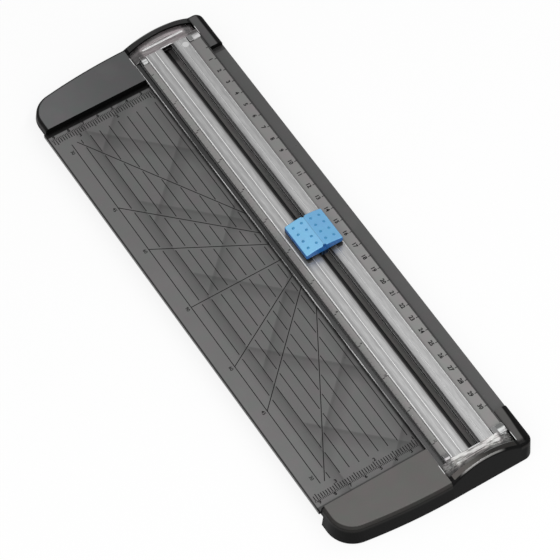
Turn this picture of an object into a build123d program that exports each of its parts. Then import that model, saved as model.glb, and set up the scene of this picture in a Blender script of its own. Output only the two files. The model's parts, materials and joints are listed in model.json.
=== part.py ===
from build123d import *
import math
import os

# Paper trimmer: a flat table with an end block at each end, and a sprung rail that carries the cutter.
# X runs across the table towards the rail, Y along the cut, Z up from the ground. Sizes in millimetres.

# Table and end blocks
paper_length = 305.0        # clear length between the end blocks, for 12 inch paper
end_depth = 27.0            # each end panel, along Y
overall_width = 124.0
table_top = 11.0            # table over the ground
plate_thickness = 2.5
foot_drop = 1.0             # the feet hold the rim this far off the ground
end_rise = 3.5              # end panel over the table
end_wall = 2.0
end_roof = 2.2
end_bow_radius = 360.0      # long curve of the end outline, left of the hood
left_corner_radius = 15.0
right_corner_radius = 4.5
end_flare = 1.9             # foot of the end walls, out from their top edge
end_edge_round = 2.5
near_foot_inset = 2.6       # foot of the near block's left wall, in from the table
corner_gap_width = 18.0     # gap under the far block's left corner, for the fingers
hood_depth = 4.8            # hood over the rail's end, along Y
hood_rise = 6.5             # crown of the hood over the end panel
hood_wall = 1.4
hood_front_wall = 2.2
hood_edge_round = 2.0

# Ribs under the table
overhang_wall_inset = 21.0  # long wall, in from the table's left edge
rib_thickness = 1.6
rib_ground_gap = 2.0        # lattice ribs stop short of the rim
rib_pitch = 60.0            # lattice step along Y
rising_rib_start = 1.5      # where a rising rib leaves the long wall
falling_rib_start = 24.5    # where a falling rib leaves the long wall

# Rail, measured sideways from the cut
cut_inset = 31.0            # cut line, in from the right edge of the base
rail_half_width = 22.0
bay_gap = 0.5               # rail to the end block's bay
slot_half_width = 3.4
cavity_depth = 3.2          # groove in the slot's wall that the carriage hooks into
left_runner_width = 10.3
right_runner_width = 7.8
right_runner_setback = 1.2  # right runner, back from the slot
ridge_width = 0.6
ridge_rise = 0.7            # ridge beside the runner, over the runner's seat
lip_width = 3.2             # clear lip along the left edge of the rail
lip_thickness = 1.1
runner_groove_offset = 7.9  # fine groove in the runner, from the cut
runner_groove_width = 0.6
runner_groove_depth = 0.25
cap_depth = 8.5             # clear end cap, along Y
cap_wall = 1.5
cap_flat_depth = 4.9        # flat of the cap, next to the rail
cap_flat_rise = 0.1         # flat of the cap over the runners
cap_tongue = 2.4            # tongue of the cap under the hood
hood_clearance = 0.3

# Rail, measured upwards
paper_gap = 0.85            # gap under the rail while its springs hold it up
clamp_travel = 0.8          # the rail comes down this far on the paper
rail_floor = 1.2
cavity_height = 1.65
rail_plate = 1.0
runner_thickness = 0.8
ledge_drop = 0.5            # scale ledge below the runner's seat
strip_thickness = 0.4
strip_margin = 0.3
tab_length = 4.4            # tabs of the end cap on the scale ledges
tab_thickness = 1.4
tab_margin = 0.6

# Cutting mat
mat_width = 10.4
mat_thickness = 1.5
groove_width = 1.8
groove_clearance = 0.2
mat_fit = 0.1

# Carriage shoe
running_clearance = 0.1
shoe_thickness = 0.9
shoe_half_width = 12.0
shoe_half_length = 10.4
skid_width = 3.6
skid_half_length = 13.3
window_half_width = 3.2
window_half_length = 5.3
keeper_inner = 5.7          # keepers that hook under the rail, from the middle
keeper_outer = 8.4
keeper_side_clearance = 0.3
keeper_reach = 2.6          # crossbar past the slot's wall

# Blue housing
press_travel = 1.7
press_stop_gap = 0.05
housing_half_width = 12.4
housing_half_length = 12.3
housing_height = 4.75
housing_arch_drop = 1.8     # side edges below the crown
housing_wall = 1.3
housing_edge_round = 0.8
notch_radius = 1.2
notch_height = 3.0
bump_radius = 1.1           # at its foot
bump_tip_radius = 0.5
bump_height = 0.5
bump_sink = 0.3             # foot below the housing's surface
bump_first = 3.1            # first column of bumps, from the seam
bump_column_pitch = 5.5
bump_row_pitch = 5.4
tongue_half_width = 2.0
tongue_clearance = 0.6
hook_depth = 1.6
hook_thickness = 1.0
peg_radius = 0.8
peg_length = 2.2
peg_offset = 8.4
peg_boss_half = 1.0
peg_boss_depth = 3.4
peg_fit = 0.05

# Blade
blade_lift = 0.95           # edge over the rail's underside at rest
blade_ceiling_gap = 0.3
blade_thickness = 0.6
blade_edge = 0.06
blade_bevel = 0.9
axle_radius = 0.8
axle_fit = 0.01
bush_fit = 0.04
bush_wall = 0.9
bush_side_gap = 0.15
bush_half_width = 0.65
boss_thickness = 2.0
boss_half_length = 2.2
boss_skin = 0.7             # boss below the axle
axle_grip = 1.6             # axle in each boss

# Springs, pins, screws and feet
press_wire = 0.45
press_coil = 1.75           # mean radius
press_turns = 3.0
press_offset = 6.5          # press springs, sideways from the cut
press_pad_drop = 0.5        # spring pad below the housing's roof
stub_radius = 1.3
stub_height = 0.8
pad_radius = 2.5
lift_wire = 0.5
lift_coil = 2.3
lift_turns = 4.0
spring_seat_gap = 0.03
wire_sides = 4              # the springs are hidden, so their wire is square
cup_depth = 5.5             # spring cup below the table
cup_wall = 1.4
cup_floor = 1.5
cup_clearance = 0.35
pin_radius = 1.0
pin_reach = 2.5             # guide pin above the rail's underside
pin_clearance = 0.05
pin_press = 0.01
pillar_wall = 1.5
pin_end_gap = 1.0
tongue_plate_top = 8.0      # base tongues under the end blocks
tongue_plate = 2.5
base_fit = 0.3
screw_radius = 1.0
screw_head_radius = 1.9
screw_head = 1.5
screw_bite = 3.4            # screw into the boss of the end block
screw_fit = 0.05
boss_wall = 1.2
block_screw_depth = 12.5    # screws of the end blocks, out from the table
outer_screw_inset = 32.0    # from the left edge
inner_screw_inset = 12.5    # from the rail's bay
cap_screw_radius = 0.8
cap_screw_head_radius = 1.4
cap_screw_head = 0.8
cap_screw_sink = 0.2
cap_screw_bite = 1.0
foot_radius = 4.0
foot_height = 2.4
foot_boss_wall = 0.8
foot_boss_gap = 0.2         # boss above the rim
foot_fit = 0.1
left_foot_inset = 16.0      # from the left edge
right_foot_inset = 7.5      # from the right side of the bay
foot_depth = 8.5            # out from the table

# Levels and edges that follow from these
half_width = overall_width / 2
paper_end = paper_length / 2
end = paper_end + end_depth
end_foot = end + end_flare
rim = foot_drop
plate_underside = table_top - plate_thickness
end_top = table_top + end_rise
cut_line = half_width - cut_inset
bay_half_width = rail_half_width + bay_gap
bay_left = cut_line - bay_half_width
bay_right = cut_line + bay_half_width
bay_end = end - hood_depth
cap_end = bay_end - hood_clearance
rail_end = cap_end - cap_depth
hood_crown = end_top + hood_rise
hood_radius = (bay_half_width ** 2 + hood_rise ** 2) / (2 * hood_rise)
arch_centre = hood_crown - hood_radius
cap_radius = hood_radius - hood_wall - hood_clearance

rail_underside = table_top + paper_gap
cavity_floor = rail_underside + rail_floor
cavity_roof = cavity_floor + cavity_height
seat_top = cavity_roof + rail_plate
runner_top = seat_top + runner_thickness
ledge_top = seat_top - ledge_drop
strip_top = ledge_top + strip_thickness
cavity_half_width = slot_half_width + cavity_depth
lip_inner = rail_half_width - lip_width
tab_start = rail_end - tab_length

shoe_bottom = runner_top + running_clearance
shoe_top = shoe_bottom + shoe_thickness
skirt_bottom = shoe_top + press_travel + press_stop_gap
crown = skirt_bottom + housing_height
ceiling = crown - housing_wall
housing_radius = (housing_half_width ** 2 + housing_arch_drop ** 2) / (2 * housing_arch_drop)
pad_level = ceiling - press_pad_drop - (housing_radius - math.sqrt(housing_radius ** 2 - press_offset ** 2))

blade_bottom = rail_underside + blade_lift
blade_radius = (ceiling - blade_ceiling_gap - blade_bottom) / 2
axle_height = blade_bottom + blade_radius
groove_depth = table_top - (blade_bottom - press_travel - clamp_travel) + groove_clearance
bush_radius = axle_radius + bush_fit + bush_wall
boss_inner = bush_half_width + bush_side_gap
boss_outer = boss_inner + boss_thickness

lift_place = (rail_end + cap_end) / 2
cup_bore = lift_coil + lift_wire / 2 + cup_clearance
cup_bottom = table_top - cup_depth
left_foot = -half_width + left_foot_inset
right_foot = bay_right - right_foot_inset
foot_row = paper_end + foot_depth
foot_places = [(x, side * foot_row) for x in (left_foot, right_foot) for side in (-1, 1)]
strip_middle = (bay_right + half_width) / 2
screw_columns = (-half_width + outer_screw_inset, bay_left - inner_screw_inset, strip_middle)


def block(x0, x1, y0, y1, z0, z1):
    """A box between two corners."""
    return Pos((x0 + x1) / 2, (y0 + y1) / 2, (z0 + z1) / 2) * Box(x1 - x0, y1 - y0, z1 - z0)


def rod(x, y, z0, z1, radius):
    """An upright cylinder."""
    return Pos(x, y, (z0 + z1) / 2) * Cylinder(radius, z1 - z0)


def cross_rod(x0, x1, y, z, radius):
    """A cylinder along X."""
    return Pos((x0 + x1) / 2, y, z) * Rot(0, 90, 0) * Cylinder(radius, x1 - x0)


def along_y(section, y0, y1):
    """A section drawn in X and Z, run from one Y to another."""
    return Pos(0, y1, 0) * extrude(Plane.XZ * section, y1 - y0)


def arch_section(radius, x0, x1, floor):
    """The part of the hood's round that lies above a floor, between two sides."""
    height = hood_crown - floor
    frame = Pos((x0 + x1) / 2, floor + height / 2) * Rectangle(x1 - x0, height)
    return (Pos(cut_line, arch_centre) * Circle(radius)) & frame


def both_ends(far_solid):
    """The far-end solid and its mirror image at the near end."""
    return [far_solid, mirror(far_solid, about=Plane.XZ)]


def end_outline(inset=0.0):
    """Plan of the far end panel: a long bowed edge, a large left corner and a small right one."""
    left = -half_width + end_flare + inset
    right = half_width - max(inset, 0)
    outer = end - inset
    bow = end_bow_radius - inset

    def bowed(x):
        return outer - bow + math.sqrt(bow ** 2 - (bay_left - x) ** 2)

    corner = (left, bowed(left))
    middle = (left + bay_left) / 2
    outline = make_face(
        [
            Line((left, paper_end), corner),
            ThreePointArc(corner, (middle, bowed(middle)), (bay_left, outer)),
            Line((bay_left, outer), (right, outer)),
            Line((right, outer), (right, paper_end)),
            Line((right, paper_end), (left, paper_end)),
        ]
    )
    outline = fillet(outline.vertices().sort_by_distance(corner)[0], left_corner_radius - inset)
    return fillet(outline.vertices().sort_by_distance((right, outer))[0], right_corner_radius - inset)


def end_shell():
    """Outside of the far end block without its hood: drafted walls and a rounded top edge."""
    foot_outline = Pos(0, 0, rim) * end_outline(-end_flare)
    top_outline = Pos(0, 0, end_top) * end_outline()
    shell = loft([foot_outline, top_outline], ruled=True)
    top_edges = shell.edges().group_by(Axis.Z)[-1].sort_by(Axis.Y)[1:]
    return fillet(top_edges, end_edge_round)


def hood():
    """Arched hood over the rail's end, with the draft of the end walls and a rounded outer edge."""
    draft = end_flare / (end_top - rim)
    crown_face = end_foot - draft * (hood_crown - rim)
    arch = along_y(arch_section(hood_radius, bay_left, bay_right, rim), bay_end, end_foot)
    corners = [(bay_end, rim), (end_foot, rim), (crown_face, hood_crown), (bay_end, hood_crown)]
    profile = make_face(Polyline(corners, close=True))
    arch &= Pos(bay_left, 0, 0) * extrude(Plane.YZ * profile, bay_right - bay_left)
    crown_edge = [edge for edge in arch.edges() if edge.geom_type != GeomType.LINE]
    return fillet(max(crown_edge, key=lambda edge: edge.center().Y), hood_edge_round)


def end_block():
    """A hollow panel round the rail's bay, with the arched hood over the rail's end."""
    shell = end_shell()
    shell -= block(bay_left, bay_right, paper_end, end_foot, rim, end_top)
    shell += hood()

    # Hollow underside on both sides of the bay, open towards the table for the base's tongues
    ceiling_level = end_top - end_roof
    hollow = Pos(0, 0, rim) * extrude(end_outline(end_wall), ceiling_level - rim)
    hollow -= block(-half_width, half_width, paper_end, paper_end + end_wall, plate_underside, end_top)
    hollow -= block(bay_left - end_wall, bay_right + end_wall, paper_end, end, rim, end_top)
    shell -= hollow

    # Pocket under the hood for the rail's tongue, and the hood's hollow underside
    pocket = arch_section(hood_radius - hood_wall, bay_left + bay_gap, bay_right - bay_gap, table_top)
    shell -= along_y(pocket, bay_end, end - hood_front_wall)
    shell -= block(bay_left + end_wall, bay_right - end_wall, bay_end, end - end_wall, rim, plate_underside)

    # Screw bosses that stand on the base's tongues
    for x, y in screw_places():
        shell += rod(x, y, tongue_plate_top, ceiling_level + screw_radius, screw_radius + boss_wall)
        shell -= rod(x, y, tongue_plate_top, tongue_plate_top + screw_bite, screw_radius + screw_fit)
    return shell


def left_wall_gap(width, depth):
    """Space under the far block's left wall, below the table."""
    left = -half_width
    return block(left, left + width, paper_end, paper_end + depth, rim, plate_underside)


def screw_places():
    """Screws of the far end block."""
    return [(x, paper_end + block_screw_depth) for x in screw_columns]


def block_screw(x, y):
    """Pan-head screw from below, through a tongue of the base into the end block."""
    underside = tongue_plate_top - tongue_plate
    head = rod(x, y, underside - screw_head, underside, screw_head_radius)
    head = chamfer(head.edges().sort_by(Axis.Z)[0], screw_head / 3)
    return head + rod(x, y, underside, tongue_plate_top + screw_bite, screw_radius)


def lattice():
    """Crossed ribs under the table, between the long wall and the right wall."""
    wall = -half_width + overhang_wall_inset
    reach = half_width - wall
    ribs = []
    count = int(paper_length / rib_pitch) + 3
    for start, turn in ((rising_rib_start, 45), (falling_rib_start, -45)):
        for k in range(-count, count):
            middle = start + k * rib_pitch + math.copysign(reach / 2, turn)
            if abs(middle) > paper_end + reach / 2:
                continue
            rib = Box(reach * math.sqrt(2), rib_thickness, plate_underside - rim - rib_ground_gap)
            height = (plate_underside + rim + rib_ground_gap) / 2
            ribs.append(Pos(wall + reach / 2, middle, height) * Rot(0, 0, turn) * rib)
    field_end = paper_end - rib_thickness
    field = block(wall, half_width - rib_thickness, -field_end, field_end, rim, table_top)
    return Part() + ribs & field


def base_tongues():
    """Tongues that the far end block stands on, left and right of the bay."""
    outline = end_outline(end_wall + base_fit)
    plate = Pos(0, 0, tongue_plate_top - tongue_plate) * extrude(outline, tongue_plate)
    side = bay_half_width + end_wall + base_fit
    return plate - block(cut_line - side, cut_line + side, paper_end, end, rim, table_top)


def base_plate():
    """Table, right strip, bay floors, ribs, tongues, spring cups and foot bosses in one moulding."""
    wall = -half_width + overhang_wall_inset
    plate = block(-half_width, half_width, -paper_end, paper_end, plate_underside, table_top)
    plate += block(wall, wall + rib_thickness, -paper_end, paper_end, rim, plate_underside)
    plate += block(half_width - rib_thickness, half_width, -paper_end, paper_end, rim, plate_underside)
    plate += lattice()
    side = bay_half_width - base_fit
    bay_floor = block(
        cut_line - side, cut_line + side, paper_end, bay_end - base_fit, plate_underside, table_top
    )
    end_wall_solid = block(wall, half_width, paper_end - rib_thickness, paper_end, rim, plate_underside)
    cup = rod(cut_line, lift_place, cup_bottom - cup_floor, plate_underside, cup_bore + cup_wall)
    plate += both_ends(bay_floor + end_wall_solid + base_tongues() + cup)

    for x, y in foot_places:
        roof = tongue_plate_top - tongue_plate if x < bay_left else plate_underside
        plate += rod(x, y, rim + foot_boss_gap, roof, foot_radius + foot_fit + foot_boss_wall)
        plate -= rod(x, y, rim, foot_height, foot_radius + foot_fit)
    for x, y in screw_places():
        plate -= both_ends(rod(x, y, rim, tongue_plate_top, screw_radius + screw_fit))
    spring_hole = rod(cut_line, lift_place, cup_bottom, table_top, cup_bore)
    pin_hole = rod(cut_line, lift_place, cup_bottom - cup_floor, cup_bottom, pin_radius + pin_press)
    plate -= both_ends(spring_hole + pin_hole)
    half_mat = mat_width / 2 + mat_fit
    mat_end = rail_end + mat_fit
    mat_floor = table_top - mat_thickness
    return plate - block(cut_line - half_mat, cut_line + half_mat, -mat_end, mat_end, mat_floor, table_top)


def cutting_mat():
    """Strip under the cut, with the groove that the blade runs in."""
    side = mat_width / 2
    mat = block(cut_line - side, cut_line + side, -rail_end, rail_end, table_top - mat_thickness, table_top)
    half = groove_width / 2
    groove_floor = table_top - groove_depth
    return mat - block(cut_line - half, cut_line + half, -rail_end, rail_end, groove_floor, table_top)


def foot(x, y):
    """Round rubber foot, bevelled where it meets the ground."""
    disc = rod(x, y, 0, foot_height, foot_radius)
    return chamfer(disc.edges().sort_by(Axis.Z)[0], foot_drop / 2)


def guide_pin(y):
    """Pin pressed into a spring cup, which the rail slides on."""
    pin = rod(cut_line, y, cup_bottom - cup_floor, rail_underside + pin_reach, pin_radius)
    return chamfer(pin.edges().sort_by(Axis.Z)[-1], pin_radius / 3)


def runner_edges(side):
    """Inner and outer edge of a runner, from the cut."""
    if side < 0:
        return slot_half_width, slot_half_width + left_runner_width
    inner = slot_half_width + right_runner_setback
    return inner, inner + right_runner_width


def ridge_edges(side):
    """Inner and outer edge of the ridge beside a runner, from the cut."""
    inner = runner_edges(side)[1] + running_clearance
    return inner, inner + ridge_width


def rail_section(side):
    """Cross-section of one half of the clear rail: floor, hooked slot wall, runner seat, ridge and ledge."""
    ridge_top = seat_top + ridge_rise
    ridge_inner, ridge_outer = ridge_edges(side)
    points = [
        (slot_half_width, rail_underside),
        (slot_half_width, cavity_floor),
        (cavity_half_width, cavity_floor),
        (cavity_half_width, cavity_roof),
        (slot_half_width, cavity_roof),
        (slot_half_width, seat_top),
        (ridge_inner, seat_top),
        (ridge_inner, ridge_top),
        (ridge_outer, ridge_top),
        (ridge_outer, ledge_top),
    ]
    lip_top = rail_underside + lip_thickness
    if side < 0:
        points += [(lip_inner, ledge_top), (lip_inner, lip_top), (rail_half_width, lip_top)]
    else:
        points += [(rail_half_width, ledge_top)]
    points += [(rail_half_width, rail_underside)]
    return make_face(Polyline([(cut_line + side * u, z) for u, z in points], close=True))


def rail_half(side):
    """One clear half of the rail, with counterbores for the screws of its end caps."""
    rail = along_y(rail_section(side), -rail_end, rail_end)
    for place in cap_screw_places(side):
        rail -= rod(*place, rail_underside, ledge_top, cap_screw_radius + screw_fit)
        head = rail_underside + cap_screw_sink + cap_screw_head
        rail -= rod(*place, rail_underside, head, cap_screw_head_radius + screw_fit)
    return rail


def runner(side):
    """Silver strip that the carriage slides on, with a fine groove along it."""
    inner, outer = runner_edges(side)
    points = [
        (inner, seat_top),
        (inner, runner_top),
        (runner_groove_offset - runner_groove_width / 2, runner_top),
        (runner_groove_offset, runner_top - runner_groove_depth),
        (runner_groove_offset + runner_groove_width / 2, runner_top),
        (outer, runner_top),
        (outer, seat_top),
    ]
    section = make_face(Polyline([(cut_line + side * u, z) for u, z in points], close=True))
    return along_y(section, -rail_end, rail_end)


def ledge_outer(side):
    """Outer edge of the scale ledge, from the cut."""
    return lip_inner if side < 0 else rail_half_width


def scale_strip(side):
    """Printed strip on a scale ledge, between the tabs of the end caps."""
    near = cut_line + side * (ridge_edges(side)[1] + strip_margin)
    far = cut_line + side * (ledge_outer(side) - strip_margin)
    length = tab_start - strip_margin
    return block(min(near, far), max(near, far), -length, length, ledge_top, strip_top)


def tab_middle(side):
    """Middle of a cap's tab, across the rail."""
    return cut_line + side * (ridge_edges(side)[1] + ledge_outer(side)) / 2


def cap_screw_places(side):
    """Screws under the tabs on one side of the rail."""
    y = tab_start + tab_length / 2
    return [(tab_middle(side), y), (tab_middle(side), -y)]


def end_cap():
    """Clear cap that joins the rail's halves: a flat at the rail, and an arch that reaches under the hood."""
    left = cut_line - rail_half_width + running_clearance
    right = cut_line + rail_half_width - running_clearance
    flat = runner_top + cap_flat_rise
    flat_end = rail_end + cap_flat_depth
    arch = arch_section(cap_radius, left, right, rail_underside)
    hollow = arch_section(cap_radius - cap_wall, left, right, cavity_floor)
    body = along_y(arch, rail_end, flat_end) & block(left, right, rail_end, flat_end, rail_underside, flat)
    body += along_y(arch, flat_end, cap_end)
    cap = body - (
        along_y(hollow, rail_end, cap_end - cap_wall)
        & block(left, right, rail_end, cap_end, cavity_floor, flat - cap_wall)
    )
    tongue = arch_section(cap_radius, left, right, end_top)
    tongue -= arch_section(cap_radius - cap_wall, left, right, end_top)
    cap += along_y(tongue, cap_end, cap_end + cap_tongue)
    pin_top = rail_underside + pin_reach + pin_end_gap
    cap += body & rod(cut_line, lift_place, rail_underside, flat, pin_radius + pin_clearance + pillar_wall)
    cap -= rod(cut_line, lift_place, rail_underside, pin_top, pin_radius + pin_clearance)
    for side in (-1, 1):
        half = (ledge_outer(side) - ridge_edges(side)[1]) / 2 - tab_margin
        middle = tab_middle(side)
        tab_top = ledge_top + tab_thickness
        tab = block(middle - half, middle + half, tab_start, rail_end + cap_wall, ledge_top, tab_top)
        cap += fillet(tab.edges().filter_by(Axis.Z).group_by(Axis.Y)[0], tab_margin)
        place = cap_screw_places(side)[0]
        cap -= rod(*place, ledge_top, ledge_top + cap_screw_bite, cap_screw_radius + screw_fit)
    return cap


def cap_screw(x, y):
    """Small screw from below, through the rail into a tab of the end cap."""
    head_low = rail_underside + cap_screw_sink
    head = rod(x, y, head_low, head_low + cap_screw_head, cap_screw_head_radius)
    return head + rod(x, y, head_low, ledge_top + cap_screw_bite, cap_screw_radius)


def carriage_shoe():
    """Black sled on the runners, with keepers that hook under the rail and a window for the blade."""
    half = shoe_half_width
    length = shoe_half_length
    plate = block(-half, half, -length, length, shoe_bottom, shoe_top)
    for side in (-1, 1):
        inner, outer = sorted((side * (half - skid_width), side * half))
        skid = block(inner, outer, -skid_half_length, skid_half_length, shoe_bottom, shoe_top)
        plate += fillet(skid.edges().filter_by(Axis.Z), skid_width / 3)
    half = window_half_width
    plate -= block(-half, half, -window_half_length, window_half_length, shoe_bottom, shoe_top)
    stem = slot_half_width - keeper_side_clearance
    bar = slot_half_width + keeper_reach
    bar_low = cavity_floor + running_clearance
    bar_high = cavity_roof - running_clearance
    keeper = block(-stem, stem, keeper_inner, keeper_outer, bar_low, shoe_bottom)
    keeper += block(-bar, bar, keeper_inner, keeper_outer, bar_low, bar_high)
    plate += both_ends(keeper)
    for x in (-press_offset, press_offset):
        plate += rod(x, 0, shoe_top, shoe_top + stub_height, stub_radius)
    return Pos(cut_line, 0, 0) * plate


def housing_arch(radius, half_width_here, floor):
    """Section of the housing's left half under an arch, from the seam to the side."""
    height = crown - floor
    frame = Pos(-half_width_here / 2, floor + height / 2) * Rectangle(half_width_here, height)
    return (Pos(0, crown - housing_radius) * Circle(radius)) & frame


def housing_shell():
    """Left half of the blue housing, up to its seam: arched shell, grip bumps and end notches."""
    length = housing_half_length
    shell = along_y(housing_arch(housing_radius, housing_half_width, skirt_bottom), -length, length)
    outer_edges = [
        edge
        for edge in shell.edges()
        if abs(edge.center().X) > 1 and edge.center().Z > skirt_bottom + 0.1
    ]
    shell = fillet(outer_edges, housing_edge_round)
    inner = housing_half_length - housing_wall
    room = housing_arch(housing_radius - housing_wall, housing_half_width - housing_wall, skirt_bottom)
    shell -= along_y(room, -inner, inner)
    for y in (-length, length):
        shell -= rod(0, y, crown - notch_height, crown, notch_radius)
    bump = Cone(bump_radius, bump_tip_radius, bump_height + bump_sink)
    for column in range(2):
        x = -bump_first - column * bump_column_pitch
        surface = crown - housing_radius + math.sqrt(housing_radius ** 2 - x ** 2)
        for row in range(4):
            y = (row - 1.5) * bump_row_pitch
            shell += Pos(x, y, surface + (bump_height - bump_sink) / 2) * bump
    return shell


def housing_half(side):
    """One blue half: shell, axle boss, spring pad, hooked tongues and the pegs that line up the halves."""
    half = housing_shell()
    roof = (ceiling + crown) / 2
    boss_low = axle_height - axle_radius - boss_skin
    half += block(-boss_outer, -boss_inner, -boss_half_length, boss_half_length, boss_low, roof)
    grip = boss_inner + axle_grip
    half -= cross_rod(-grip, 0, 0, axle_height, axle_radius + axle_fit)
    half += rod(-press_offset, 0, pad_level, pad_level + press_pad_drop + housing_wall / 2, pad_radius)
    half += rod(-press_offset, 0, pad_level - stub_height, pad_level, stub_radius)

    hook_top = shoe_bottom - running_clearance
    hook_low = hook_top - hook_thickness
    tongue_top = skirt_bottom + housing_wall
    inner = shoe_half_length + tongue_clearance
    outer = housing_half_length
    tongue = block(-tongue_half_width, 0, inner, outer, hook_low, tongue_top)
    hook = block(-tongue_half_width, 0, inner - hook_depth, outer, hook_low, hook_top)
    half += both_ends(tongue + hook)

    peg_height = ceiling - peg_boss_half - housing_wall
    boss_start = peg_offset - peg_boss_half
    boss_stop = peg_offset + peg_boss_half
    half += both_ends(block(-peg_boss_depth, 0, boss_start, boss_stop, peg_height - peg_boss_half, roof))
    if side < 0:
        half += both_ends(cross_rod(-peg_length, peg_length, peg_offset, peg_height, peg_radius - peg_fit))
    else:
        half -= both_ends(cross_rod(-peg_length - peg_fit, 0, peg_offset, peg_height, peg_radius))
        half = mirror(half, about=Plane.YZ)
    return Pos(cut_line, 0, 0) * half


def blade_axle():
    """Steel pin between the bosses of the two housing halves."""
    reach = boss_inner + axle_grip
    return cross_rod(cut_line - reach, cut_line + reach, 0, axle_height, axle_radius)


def cutter_blade():
    """Round blade with a bevel on both sides of its edge."""
    flat = blade_radius - blade_bevel
    half = blade_thickness / 2
    edge = blade_edge / 2
    rim_side = [(bush_radius, half), (flat, half), (blade_radius, edge)]
    points = rim_side + [(radius, -height) for radius, height in reversed(rim_side)]
    section = make_face(Polyline(points, close=True))
    disc = revolve(Plane.XZ * section, Axis.Z)
    return Pos(cut_line, 0, axle_height) * Rot(0, 90, 0) * disc


def blade_bush():
    """Plastic bush that carries the blade on its axle."""
    left = cut_line - bush_half_width
    right = cut_line + bush_half_width
    ring = cross_rod(left, right, 0, axle_height, bush_radius)
    return ring - cross_rod(left, right, 0, axle_height, axle_radius + bush_fit)


def coil_point(coil, low, pitch, turn):
    """Point on a spring's centre line, and the way that the wire runs there."""
    angle = 2 * math.pi * turn
    point = Vector(coil * math.cos(angle), coil * math.sin(angle), low + pitch * turn)
    way = Vector(-coil * math.sin(angle), coil * math.cos(angle), pitch / (2 * math.pi)).normalized()
    return point, way


def two_arcs(start, start_way, stop, stop_way):
    """Two arcs that leave the start one way and reach the stop another way, meeting smoothly between them."""
    span = stop - start
    along = span.dot(start_way + stop_way)
    turn = 2 * (1 - start_way.dot(stop_way))
    arm = (math.sqrt(along ** 2 + turn * span.dot(span)) - along) / turn
    first = start + start_way * arm
    second = stop - stop_way * arm
    meet = (first + second) / 2
    return [TangentArc(start, meet, tangent=start_way), TangentArc(meet, stop, tangent=second - first)]


def coil_spring(x, y, low, high, coil, wire, turns, name):
    """A coil spring of square wire between two seats; prints its least gap to itself."""
    bottom = low + wire / 2 + spring_seat_gap
    pitch = (high - low - wire - 2 * spring_seat_gap) / turns
    steps = int(turns * 2)
    knots = [coil_point(coil, bottom, pitch, k / 2) for k in range(steps + 1)]
    arcs = []
    for (start, start_way), (stop, stop_way) in zip(knots, knots[1:]):
        arcs += two_arcs(start, start_way, stop, stop_way)
    wire_section = Plane(origin=knots[0][0], z_dir=knots[0][1]) * RegularPolygon(wire / 2, wire_sides)
    samples = [coil_point(coil, bottom, pitch, k / 16)[0] for k in range(int(turns * 16) + 1)]
    gaps = [(a - b).length - wire for i, a in enumerate(samples) for b in samples[i + 8:]]
    print(name, "least gap between turns", round(min(gaps), 2), "mm")
    return Pos(x, y, 0) * sweep(wire_section, path=Wire(arcs))


def lift_spring(y, name):
    """Spring that holds one end of the rail up."""
    return coil_spring(cut_line, y, cup_bottom, rail_underside, lift_coil, lift_wire, lift_turns, name)


def press_spring(side, name):
    """Spring that holds one side of the housing up from the shoe."""
    x = cut_line + side * press_offset
    return coil_spring(x, 0, shoe_top, pad_level, press_coil, press_wire, press_turns, name)


far_block = end_block()
near_block = far_block - left_wall_gap(end_flare + end_wall, near_foot_inset)
far_cap = end_cap()
nodes = {
    "base_plate": base_plate(),
    "far_end_block": far_block - left_wall_gap(corner_gap_width, end_foot - paper_end),
    "near_end_block": mirror(near_block, about=Plane.XZ),
    "cutting_mat": cutting_mat(),
    "guide_pins": Compound(children=[guide_pin(lift_place), guide_pin(-lift_place)]),
    "far_lift_spring": lift_spring(lift_place, "far_lift_spring"),
    "near_lift_spring": lift_spring(-lift_place, "near_lift_spring"),
    "block_screws": Compound(children=[block_screw(x, s * y) for x, y in screw_places() for s in (-1, 1)]),
    "rubber_feet": Compound(children=[foot(x, y) for x, y in foot_places]),
    "left_rail": rail_half(-1),
    "right_rail": rail_half(1),
    "left_runner": runner(-1),
    "right_runner": runner(1),
    "inch_scale_strip": scale_strip(-1),
    "metric_scale_strip": scale_strip(1),
    "far_end_cap": far_cap,
    "near_end_cap": mirror(far_cap, about=Plane.XZ),
    "cap_screws": Compound(children=[cap_screw(*place) for s in (-1, 1) for place in cap_screw_places(s)]),
    "carriage_shoe": carriage_shoe(),
    "left_press_spring": press_spring(-1, "left_press_spring"),
    "right_press_spring": press_spring(1, "right_press_spring"),
    "left_housing": housing_half(-1),
    "right_housing": housing_half(1),
    "blade_axle": blade_axle(),
    "cutter_blade": cutter_blade(),
    "blade_bush": blade_bush(),
}

os.makedirs("parts", exist_ok=True)
for name, solid in nodes.items():
    export_step(solid, f"parts/{name}.step")
print("blade radius", round(blade_radius, 2), "axle height", round(axle_height, 2), "crown", round(crown, 2))
print("hood crown", round(hood_crown, 2), "groove depth", round(groove_depth, 2))
print("pad level of the press springs", round(pad_level, 2))
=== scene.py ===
# %% [markdown]
# # A desk paper trimmer, dressed for its picture
# The solids, their sizes and their joints were settled in CAD, and nothing here moves or reshapes them.
# Only the four springs are swapped, for coils of round wire. This lesson adds what the eye meets
# first: smoke plastic, brushed metal, clear mouldings, ink and light. Lengths are written in
# millimetres, as on a drawing, and turned into metres where Blender needs them. Only the floor and the
# lamps are placed in metres.

# %% Load the imported model
import json
import math

import bmesh
import bpy
from mathutils import Matrix, Vector


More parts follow.
